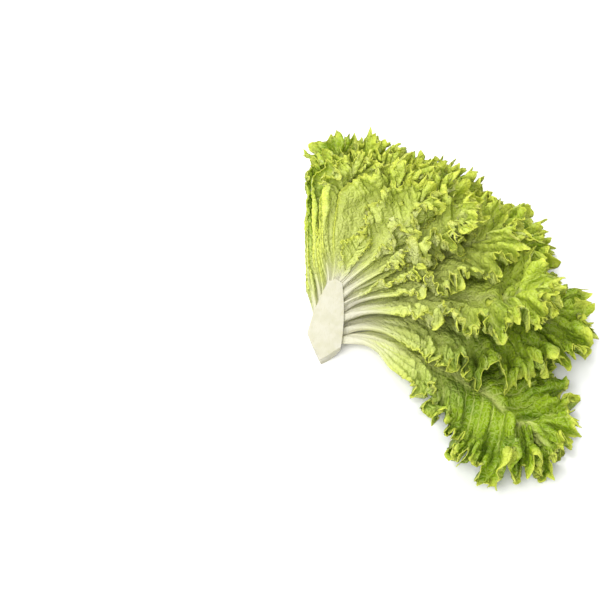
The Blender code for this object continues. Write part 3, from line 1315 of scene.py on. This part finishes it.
@dataclass(frozen=True)
class LeafTissue:
    """The pattern that both faces of a leaf share: colours by place, veins and fine relief.

    Pairs are where an effect starts and ends: in millimetres from the stem or the edge, or across
    a vein, and otherwise in the pattern's own range. Grains say how fine a pattern is, per metre,
    and shares how strongly an effect shows.
    """

    vein_grain: float = 90
    vein_wander: float = 0.5
    side_vein: Span = (0.25, 1.3)
    net_scale: float = 230.0
    net_vein: Span = (0.0, 0.16)
    net_share: float = 0.5
    quilt: Span = (0.0, 0.34)
    quilt_share: float = 0.5
    young: Span = (0.0, 0.65)
    patch_grain: float = 38
    patches: Span = (0.42, 0.72)
    patches_lost: float = 0.6
    heart: Span = (0.5, 1.0)
    heart_share: float = 0.75
    vein_share: float = 0.8
    pale: Span = (60, 145)
    pale_stretched: float = 0.35
    pale_grain: float = 60
    pale_wander: float = 34.0
    pale_share: float = 0.85
    flesh: Span = (12, 64)
    streak_scale: Triple = (9.0, 0.012, 40.0)
    streaks: Span = (0.42, 0.66)
    streak_start: Span = (5, 55)
    fringe: Span = (0.5, 7.0)
    fringe_grain: float = 300
    fringe_wander: float = 3.0
    fringe_start: Span = (35, 80)
    fringe_share: float = 0.8
    crinkle_grain: float = 260
    crinkle_start: Span = (30, 80)
    crinkle_height: float = 1.6
    vein_height: float = -0.5

    def veins(
        self, nodes: Nodes, place: bpy.types.NodeSocket
    ) -> tuple[bpy.types.NodeSocket, bpy.types.NodeSocket]:
        """Side veins that follow the sheet's columns, with a net of finer ones between them.

        Args:
            nodes: The group's nodes.
            place: Object coordinates.

        Returns:
            The veins, and how far the blade is raised between the finer ones.
        """
        wander = nodes.less(nodes.noise(place, self.vein_grain, 2), 0.5)
        wander = nodes.times(wander, self.vein_wander)
        turn = nodes.math("FRACT", nodes.plus(nodes.read("vein"), wander))
        off = nodes.less(0.5, nodes.math("ABSOLUTE", nodes.less(turn, 0.5)))
        side_vein = nodes.fall(nodes.times(off, nodes.read("vein_gap")), *self.side_vein)
        net = nodes.add("ShaderNodeTexVoronoi", feature="DISTANCE_TO_EDGE")
        nodes.feed(net, {"Vector": place, "Scale": self.net_scale})
        fine_vein = nodes.times(nodes.fall(net.outputs[0], *self.net_vein), self.net_share)
        quilt = nodes.ramp(net.outputs[0], *self.quilt)
        return nodes.math("MAXIMUM", side_vein, fine_vein), quilt

    def fan_streaks(self, nodes: Nodes, from_stem: bpy.types.NodeSocket) -> bpy.types.NodeSocket:
        """Faint streaks that fan out from the stem and differ from leaf to leaf.

        Args:
            nodes: The group's nodes.
            from_stem: Millimetres from the stem.

        Returns:
            The streaks, from 0 to 1.
        """
        line = nodes.add("ShaderNodeCombineXYZ")
        parts = zip((nodes.read("fan"), from_stem, nodes.read("youth")), self.streak_scale)
        nodes.feed(line, {index: nodes.times(*part) for index, part in enumerate(parts)})
        return nodes.noise(line.outputs[0], 1.0, 2)

    def build(self) -> bpy.types.ShaderNodeTree:
        """Makes the node group.

        Returns:
            The group, with colours and a vein strength as inputs, and a colour and a height out.
        """
        group = bpy.data.node_groups.new("leaf_tissue", "ShaderNodeTree")
        for name in ("Blade", "Young Blade", "Shade", "Fringe", "Pale", "Flesh"):
            group.interface.new_socket(name, in_out="INPUT", socket_type="NodeSocketColor")
        group.interface.new_socket("Vein Shown", in_out="INPUT", socket_type="NodeSocketFloat")
        group.interface.new_socket("Color", in_out="OUTPUT", socket_type="NodeSocketColor")
        group.interface.new_socket("Height", in_out="OUTPUT", socket_type="NodeSocketFloat")
        nodes = Nodes(group)
        given = nodes.add("NodeGroupInput").outputs
        place = nodes.place()
        from_stem = nodes.read("from_stem")
        youth = nodes.read("youth")
        veins, quilt = self.veins(nodes, place)
        veins = nodes.times(veins, given["Vein Shown"])

        # The blade: lighter in young leaves, with darker patches, pale veins and a pale foot
        young = nodes.ramp(youth, *self.young)
        blade = nodes.mix(young, given["Blade"], given["Young Blade"])
        grown = nodes.less(1.0, nodes.times(young, self.patches_lost))
        patches = nodes.ramp(nodes.noise(place, self.patch_grain, 3), *self.patches)
        blade = nodes.mix(nodes.times(patches, grown), blade, given["Shade"])
        heart = nodes.times(nodes.ramp(youth, *self.heart), self.heart_share)
        blade = nodes.mix(heart, blade, given["Young Blade"])
        blade = nodes.mix(nodes.times(veins, self.vein_share), blade, given["Pale"])
        wander = nodes.times(nodes.noise(place, self.pale_grain, 2), self.pale_wander)
        nearer = nodes.less(1.0, nodes.times(young, self.pale_stretched))
        reach = nodes.plus(nodes.times(from_stem, nearer), wander)
        for pale in (nodes.fall(reach, *self.pale), nodes.read("rib")):
            blade = nodes.mix(nodes.times(pale, self.pale_share), blade, given["Pale"])

        # Streaked flesh next to the stem, and light tips along the edge
        near = nodes.fall(from_stem, *self.flesh)
        streaks = self.fan_streaks(nodes, from_stem)
        shown = nodes.ramp(from_stem, *self.streak_start)
        shown = nodes.times(nodes.ramp(streaks, *self.streaks), shown)
        blade = nodes.mix(near, blade, nodes.mix(shown, given["Flesh"], given["Pale"]))
        wander = nodes.times(nodes.noise(place, self.fringe_grain, 2), self.fringe_wander)
        tips = nodes.fall(nodes.plus(nodes.read("from_edge"), wander), *self.fringe)
        fringe = nodes.times(tips, nodes.ramp(from_stem, *self.fringe_start))
        blade = nodes.mix(nodes.times(fringe, self.fringe_share), blade, given["Fringe"])

        # The relief: sunk veins, crinkled tissue between them and ribbed flesh by the stem
        crinkle = nodes.noise(place, self.crinkle_grain, 3)
        crinkle = nodes.plus(crinkle, nodes.times(quilt, self.quilt_share))
        crinkle = nodes.times(crinkle, nodes.ramp(from_stem, *self.crinkle_start))
        height = nodes.times(veins, self.vein_height)
        height = nodes.plus(height, nodes.times(crinkle, self.crinkle_height))
        height = nodes.plus(height, nodes.times(streaks, near))
        nodes.feed(nodes.add("NodeGroupOutput"), {"Color": blade, "Height": height})
        return group


@dataclass(frozen=True)
class LeafFinish:
    """Thin, satin leaf tissue that lets light through."""

    name: str
    tint: LeafTint
    relief: float
    relief_height: float = 0.0020
    gloss: float = 0.32

    def build(self, tissue: bpy.types.ShaderNodeTree) -> bpy.types.Material:
        """Makes the material.

        Args:
            tissue: The shared pattern group.

        Returns:
            The material.
        """
        material = bpy.data.materials.new(self.name)
        material.use_nodes = True
        nodes = Nodes(material.node_tree)
        tint = self.tint
        pattern = nodes.add("ShaderNodeGroup", node_tree=tissue)
        nodes.feed(pattern, {
            "Blade": tint.blade,
            "Young Blade": tint.young_blade,
            "Shade": tint.shade,
            "Fringe": tint.fringe,
            "Pale": tint.pale,
            "Flesh": tint.flesh,
            "Vein Shown": tint.vein_shown,
        })
        colour = pattern.outputs["Color"]
        normal = nodes.bump(pattern.outputs["Height"], self.relief, self.relief_height)
        shader = material.node_tree.nodes["Principled BSDF"]
        nodes.feed(shader, {
            "Base Color": colour,
            "Normal": normal,
            "Roughness": tint.roughness,
            "Specular IOR Level": self.gloss,
        })
        through = nodes.add("ShaderNodeBsdfTranslucent")
        nodes.feed(through, {"Color": colour, "Normal": normal})
        blend = nodes.add("ShaderNodeMixShader")
        nodes.feed(blend, {0: tint.glow, 1: shader.outputs[0], 2: through.outputs[0]})
        output = material.node_tree.nodes["Material Output"]
        nodes.feed(output, {"Surface": blend.outputs[0]})
        return material


@dataclass(frozen=True)
class StemFinish:
    """Moist, cream-white cut flesh with faint fibres along the stem."""

    name: str = "stem_flesh"
    flesh: Colour = (0.455, 0.440, 0.330)
    heart: Colour = (0.490, 0.475, 0.380)
    stain: Colour = (0.370, 0.350, 0.200)
    fibre_grain: float = 900
    fibre_stretch: float = 0.09
    fibres: Span = (0.5, 0.8)
    stain_share: float = 0.35
    cloud_grain: float = 120
    clouds: Span = (0.35, 0.65)
    relief: float = 0.35
    relief_height: float = 0.0004
    roughness: float = 0.60
    gloss: float = 0.15
    depth_share: float = 0.15
    depth: float = 0.003
    depth_tint: Colour = (1.0, 0.9, 0.5)

    def build(self, bowl: Bowl) -> bpy.types.Material:
        """Makes the material, its fibres turned to run along the stem.

        Args:
            bowl: The form of the head.

        Returns:
            The material.
        """
        material = bpy.data.materials.new(self.name)
        material.use_nodes = True
        nodes = Nodes(material.node_tree)
        turned = nodes.add("ShaderNodeMapping", vector_type="TEXTURE")
        turn = (0.0, 0.0, bowl.stem_heading - math.pi / 2)
        nodes.feed(turned, {
            "Vector": nodes.place(),
            "Location": tuple(bowl.foot),
            "Rotation": turn,
        })
        stretched = nodes.add("ShaderNodeMapping")
        scale = (1.0, self.fibre_stretch, 1.0)
        nodes.feed(stretched, {"Vector": turned.outputs[0], "Scale": scale})
        fibres = nodes.noise(stretched.outputs[0], self.fibre_grain, 3)
        clouds = nodes.ramp(nodes.noise(nodes.place(), self.cloud_grain, 3), *self.clouds)
        colour = nodes.mix(clouds, self.flesh, self.heart)
        stained = nodes.times(nodes.ramp(fibres, *self.fibres), self.stain_share)
        nodes.feed(material.node_tree.nodes["Principled BSDF"], {
            "Base Color": nodes.mix(stained, colour, self.stain),
            "Roughness": self.roughness,
            "Specular IOR Level": self.gloss,
            "Normal": nodes.bump(fibres, self.relief, self.relief_height),
            "Subsurface Weight": self.depth_share,
            "Subsurface Scale": self.depth,
            "Subsurface Radius": self.depth_tint,
        })
        return material


@dataclass(frozen=True)
class Lamp:
    """A square soft lamp that looks at the middle of the floor."""

    name: str
    spot: Triple
    size: float
    power: float

    def hang(self) -> None:
        """Hangs the lamp at its spot."""
        data = bpy.data.lights.new(self.name, "AREA")
        data.size = self.size
        data.energy = self.power
        lamp = bpy.data.objects.new(self.name, data)
        lamp.location = self.spot
        lamp.rotation_euler = (-Vector(self.spot)).to_track_quat("-Z", "Y").to_euler()
        bpy.context.scene.collection.objects.link(lamp)


@dataclass
class Studio:
    """Pale floor, soft light and the camera."""

    bowl: Bowl
    metres_per_pixel: float = 0.85 * MM
    frame_pixels: int = 600
    foot_pixel: tuple[int, int] = (322, 352)
    foot_height: float = 0.010
    elevation: float = math.radians(50)
    distance: float = 1.25
    sensor: float = 36
    floor_half: float = 3
    floor_colour: Colour = (0.93, 0.93, 0.94)
    floor_roughness: float = 0.9
    room_light: float = 0.55
    lamps: tuple[Lamp, ...] = (
        Lamp("key_lamp", (-0.5, 0.9, 1.7), size=1.0, power=31),
        Lamp("fill_lamp", (-0.6, -1.1, 1.5), size=1.3, power=38),
    )

    def place_camera(self) -> None:
        """Aims the camera so that the stem's foot falls on its pixel."""
        back = Vector((0, -math.cos(self.elevation), math.sin(self.elevation)))
        up = Vector((0, math.sin(self.elevation), math.cos(self.elevation)))
        foot = Vector((self.bowl.foot_x, self.bowl.foot_y, self.foot_height))
        across = (self.foot_pixel[0] - self.frame_pixels / 2) * self.metres_per_pixel
        down = (self.foot_pixel[1] - self.frame_pixels / 2) * self.metres_per_pixel
        target = foot - Vector((1, 0, 0)) * across + up * down
        data = bpy.data.cameras.new("camera")
        data.sensor_width = self.sensor
        data.lens = data.sensor_width * self.distance / (self.frame_pixels * self.metres_per_pixel)
        camera = bpy.data.objects.new("camera", data)
        camera.location = target + back * self.distance
        camera.rotation_euler = (-back).to_track_quat("-Z", "Y").to_euler()
        bpy.context.scene.collection.objects.link(camera)
        bpy.context.scene.camera = camera

    def lay_floor(self) -> None:
        """Lays a wide white floor."""
        shape = bmesh.new()
        bmesh.ops.create_grid(shape, x_segments=1, y_segments=1, size=self.floor_half)
        mesh = bpy.data.meshes.new("floor")
        shape.to_mesh(mesh)
        shape.free()
        material = bpy.data.materials.new("floor_white")
        material.use_nodes = True
        shader = material.node_tree.nodes["Principled BSDF"]
        shader.inputs["Base Color"].default_value = (*self.floor_colour, 1)
        shader.inputs["Roughness"].default_value = self.floor_roughness
        mesh.materials.append(material)
        show(mesh)

    def light(self) -> None:
        """Lights the room evenly and hangs two soft lamps on the left, behind and in front."""
        world = bpy.data.worlds.new("white_room")
        world.use_nodes = True
        background = world.node_tree.nodes["Background"]
        background.inputs["Color"].default_value = (1, 1, 1, 1)
        background.inputs["Strength"].default_value = self.room_light
        bpy.context.scene.world = world
        for lamp in self.lamps:
            lamp.hang()
        bpy.context.scene.view_settings.view_transform = "Standard"

    def build(self) -> None:
        """Sets up the floor, the light and the camera."""
        self.lay_floor()
        self.light()
        self.place_camera()


def main() -> None:
    """Builds the half head and the studio, and logs how many faces each piece has."""
    logging.basicConfig(level=logging.INFO, format="%(message)s")
    bowl = Bowl()
    tissue = LeafTissue().build()
    materials = [
        LeafFinish("leaf_inner_face", INNER_TINT, relief=0.5).build(tissue),
        LeafFinish("leaf_outer_face", OUTER_TINT, relief=0.7).build(tissue),
    ]
    stem = Stem(bowl, StemFinish().build(bowl)).dress()
    LOG.info("%s: %d faces", stem.name, len(stem.data.polygons))
    plans = Spiral(bowl).leaves()
    for plan in plans:
        leaf = FrilledLeaf(plan, plans, materials).dress()
        LOG.info("%s: %d faces", leaf.name, len(leaf.data.polygons))
    Studio(bowl).build()


if __name__ == "__main__":
    main()
